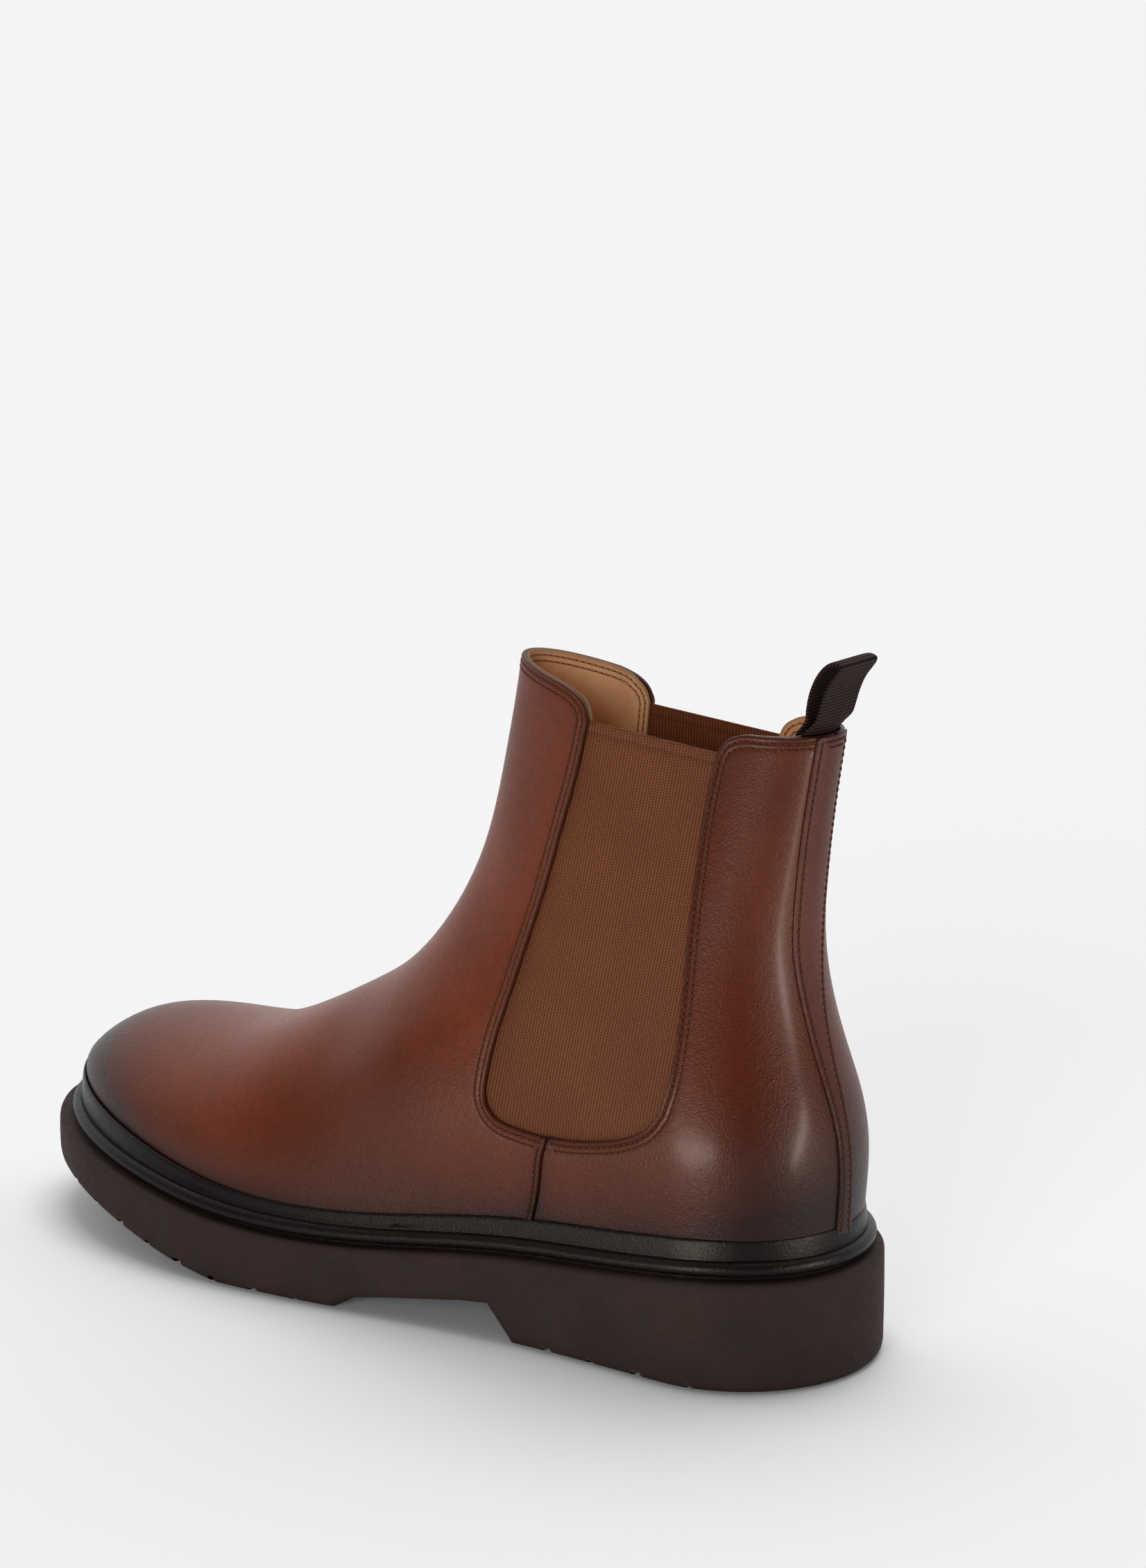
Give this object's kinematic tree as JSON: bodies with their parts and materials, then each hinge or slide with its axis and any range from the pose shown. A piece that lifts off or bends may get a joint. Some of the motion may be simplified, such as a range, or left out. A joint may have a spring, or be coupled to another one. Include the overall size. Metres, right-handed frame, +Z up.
{
  "type": "chelsea boot",
  "caption": "Left ankle boot with elastic side gores, a heel pull tab, a beaded welt and a thick rubber sole with cut tread.",
  "frame": {"origin": "middle of the boot's box, on the floor under it", "axes": "+X to the toe, +Y to the outer side of the left foot, +Z up"},
  "size_m": [0.305, 0.1114, 0.2099],
  "materials": {
    "upper_leather": "burnished cognac calf, semi-gloss",
    "elastic": "woven elastic",
    "lining_leather": "unfinished tan leather",
    "sole_rubber": "matte, fine grain",
    "welt_rubber": "satin",
    "ribbon": "grosgrain",
    "stiffener_board": "matte",
    "backer_cloth": "woven cotton",
    "shank_steel": "blued steel strip",
    "cork": "ground cork",
    "insole_fibre": "cellulose board",
    "foam": "open-cell foam"
  },
  "bodies": {
    "root": {"outsole": "sole_rubber", "storm_welt": "welt_rubber", "vamp": "upper_leather", "quarter_lateral": "upper_leather", "quarter_medial": "upper_leather", "backstay": "upper_leather", "gore_lateral": "elastic", "gore_medial": "elastic", "lining_front": "lining_leather", "lining_quarter": "lining_leather", "vamp_backer": "backer_cloth", "toe_puff": "stiffener_board", "heel_counter": "stiffener_board", "vamp_lining": "lining_leather", "heel_lining": "lining_leather", "pull_tab_root": "ribbon", "shank": "shank_steel", "bottom_filler": "cork", "heel_filler": "cork", "insole_board": "insole_fibre", "heel_pad": "foam", "footbed": "foam", "sock_cover": "lining_leather"},
    "pull_tab": {"pull_tab": "ribbon"}
  },
  "joints": [
    {"name": "pull_tab_swing", "type": "hinge", "parent": "root", "child": "pull_tab", "pos_m": [-0.1385, -0.00034, 0.1896], "axis": [0, 1, 0], "range_deg": [-70, 35]}
  ]
}
